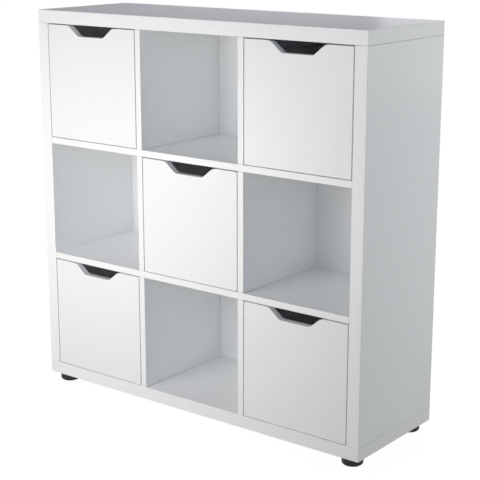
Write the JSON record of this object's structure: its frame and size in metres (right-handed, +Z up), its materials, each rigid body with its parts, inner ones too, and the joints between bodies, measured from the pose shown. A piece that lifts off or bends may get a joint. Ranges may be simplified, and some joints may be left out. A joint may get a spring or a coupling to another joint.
{
  "type": "cube storage unit",
  "caption": "White cube storage unit on round black feet, with open cells and notched drawers that slide out in a checkered layout.",
  "frame": {"origin": "on the floor, under the middle of the unit's width and depth", "axes": "+X to the right as one faces the unit, -Y out of its front, +Z up"},
  "size_m": [0.915, 0.3, 0.922],
  "materials": {
    "white_board": "white melamine-faced board with matching edge band, satin",
    "back_board": "thin white-faced fibreboard, matt",
    "drawer_board": "white foil-faced board, satin",
    "runner_plastic": "pale grey moulded strip",
    "foot_plastic": "black moulded, fine grain",
    "screw_steel": "zinc plated"
  },
  "bodies": {
    "carcass": {"top_panel": "white_board", "bottom_panel": "white_board", "left_side_panel": "white_board", "right_side_panel": "white_board", "upper_shelf": "white_board", "lower_shelf": "white_board", "bottom_left_partition": "white_board", "bottom_right_partition": "white_board", "middle_left_partition": "white_board", "middle_right_partition": "white_board", "top_left_partition": "white_board", "top_right_partition": "white_board", "back_panel": "back_board", "foot_front_left": "foot_plastic", "foot_front_right": "foot_plastic", "foot_rear_left": "foot_plastic", "foot_rear_right": "foot_plastic", "foot_screw_front_left": "screw_steel", "foot_screw_front_right": "screw_steel", "foot_screw_rear_left": "screw_steel", "foot_screw_rear_right": "screw_steel", "top_left_left_runner": "runner_plastic", "top_left_right_runner": "runner_plastic", "top_right_left_runner": "runner_plastic", "top_right_right_runner": "runner_plastic", "middle_left_runner": "runner_plastic", "middle_right_runner": "runner_plastic", "bottom_left_left_runner": "runner_plastic", "bottom_left_right_runner": "runner_plastic", "bottom_right_left_runner": "runner_plastic", "bottom_right_right_runner": "runner_plastic"},
    "top_left_drawer": {"top_left_drawer_front": "white_board", "top_left_drawer_left_side": "drawer_board", "top_left_drawer_right_side": "drawer_board", "top_left_drawer_back": "drawer_board", "top_left_drawer_base": "back_board"},
    "top_right_drawer": {"top_right_drawer_front": "white_board", "top_right_drawer_left_side": "drawer_board", "top_right_drawer_right_side": "drawer_board", "top_right_drawer_back": "drawer_board", "top_right_drawer_base": "back_board"},
    "middle_drawer": {"middle_drawer_front": "white_board", "middle_drawer_left_side": "drawer_board", "middle_drawer_right_side": "drawer_board", "middle_drawer_back": "drawer_board", "middle_drawer_base": "back_board"},
    "bottom_left_drawer": {"bottom_left_drawer_front": "white_board", "bottom_left_drawer_left_side": "drawer_board", "bottom_left_drawer_right_side": "drawer_board", "bottom_left_drawer_back": "drawer_board", "bottom_left_drawer_base": "back_board"},
    "bottom_right_drawer": {"bottom_right_drawer_front": "white_board", "bottom_right_drawer_left_side": "drawer_board", "bottom_right_drawer_right_side": "drawer_board", "bottom_right_drawer_back": "drawer_board", "bottom_right_drawer_base": "back_board"}
  },
  "joints": [
    {"name": "top_left_slide", "type": "slide", "parent": "carcass", "child": "top_left_drawer", "axis": [0, -1, 0], "range_m": [0, 0.2]},
    {"name": "top_right_slide", "type": "slide", "parent": "carcass", "child": "top_right_drawer", "axis": [0, -1, 0], "range_m": [0, 0.2]},
    {"name": "middle_slide", "type": "slide", "parent": "carcass", "child": "middle_drawer", "axis": [0, -1, 0], "range_m": [0, 0.2]},
    {"name": "bottom_left_slide", "type": "slide", "parent": "carcass", "child": "bottom_left_drawer", "axis": [0, -1, 0], "range_m": [0, 0.2]},
    {"name": "bottom_right_slide", "type": "slide", "parent": "carcass", "child": "bottom_right_drawer", "axis": [0, -1, 0], "range_m": [0, 0.2]}
  ]
}
